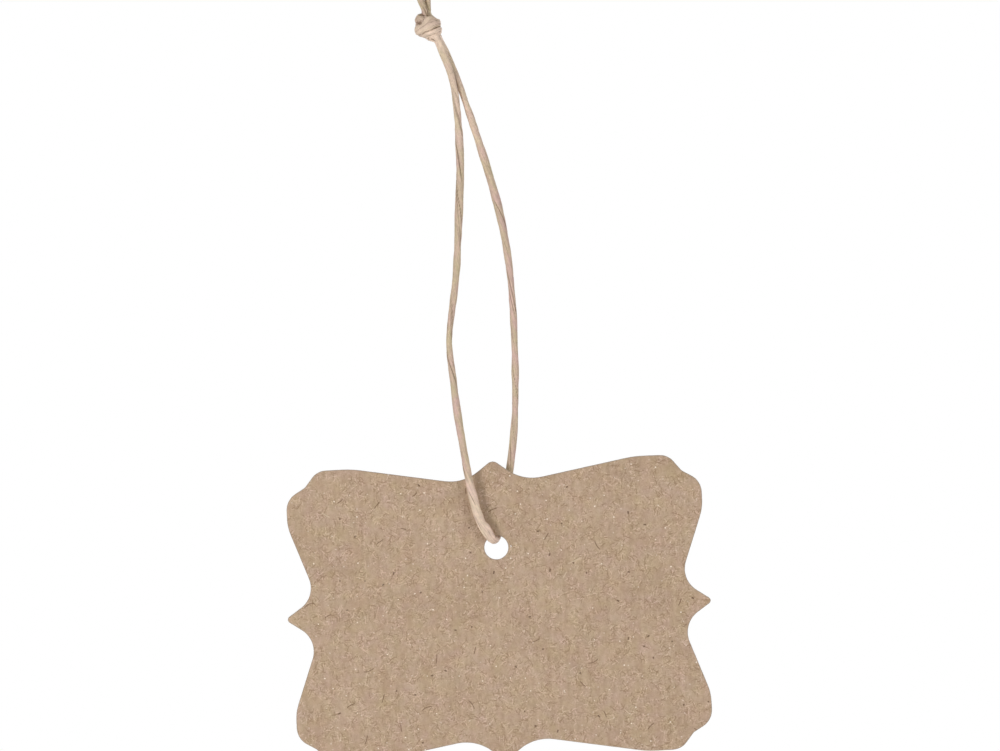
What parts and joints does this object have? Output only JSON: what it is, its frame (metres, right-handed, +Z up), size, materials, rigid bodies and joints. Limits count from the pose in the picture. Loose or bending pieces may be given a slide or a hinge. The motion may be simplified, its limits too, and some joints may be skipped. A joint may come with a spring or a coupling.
{
  "type": "gift tag",
  "caption": "Die-cut kraft card tag with a scalloped bracket outline and a punched hole, hung on a knotted loop of twisted paper twine, for marking a gift.",
  "frame": {"origin": "just under the knot, between the two strands of the loop that leave it, where the hung loop is held", "axes": "+X across the card to the right seen from its front face, +Y away from the front face, +Z up, with the card hanging plumb"},
  "size_m": [0.0846, 0.007, 0.1675],
  "materials": {
    "kraft_card": "uncoated recycled kraft board, flecked with fibres",
    "paper_twine": "twisted kraft paper, matt, with pleats"
  },
  "bodies": {
    "knot": {"twine_knot": "paper_twine", "twine_tail_left": "paper_twine", "twine_tail_right": "paper_twine"},
    "neck": {"twine_neck": "paper_twine"},
    "loop": {"twine_front_leg": "paper_twine", "twine_bight": "paper_twine", "twine_back_leg": "paper_twine"},
    "card": {"card": "kraft_card"}
  },
  "joints": [
    {"name": "sway", "type": "hinge", "parent": "knot", "child": "neck", "pos_m": [0.0013, 0, -0.004], "axis": [1, 0, 0], "range_deg": [-75, 75], "deforming": ["twine_neck"]},
    {"name": "twirl", "type": "hinge", "parent": "neck", "child": "loop", "pos_m": [0.003, 0, -0.008], "axis": [0, 0, 1], "range_deg": [-180, 180], "stiffness_Nm_per_rad": 0.00002},
    {"name": "swing", "type": "hinge", "parent": "loop", "child": "card", "pos_m": [0.0071, 0, -0.1016], "axis": [0, 1, 0], "continuous": true}
  ]
}
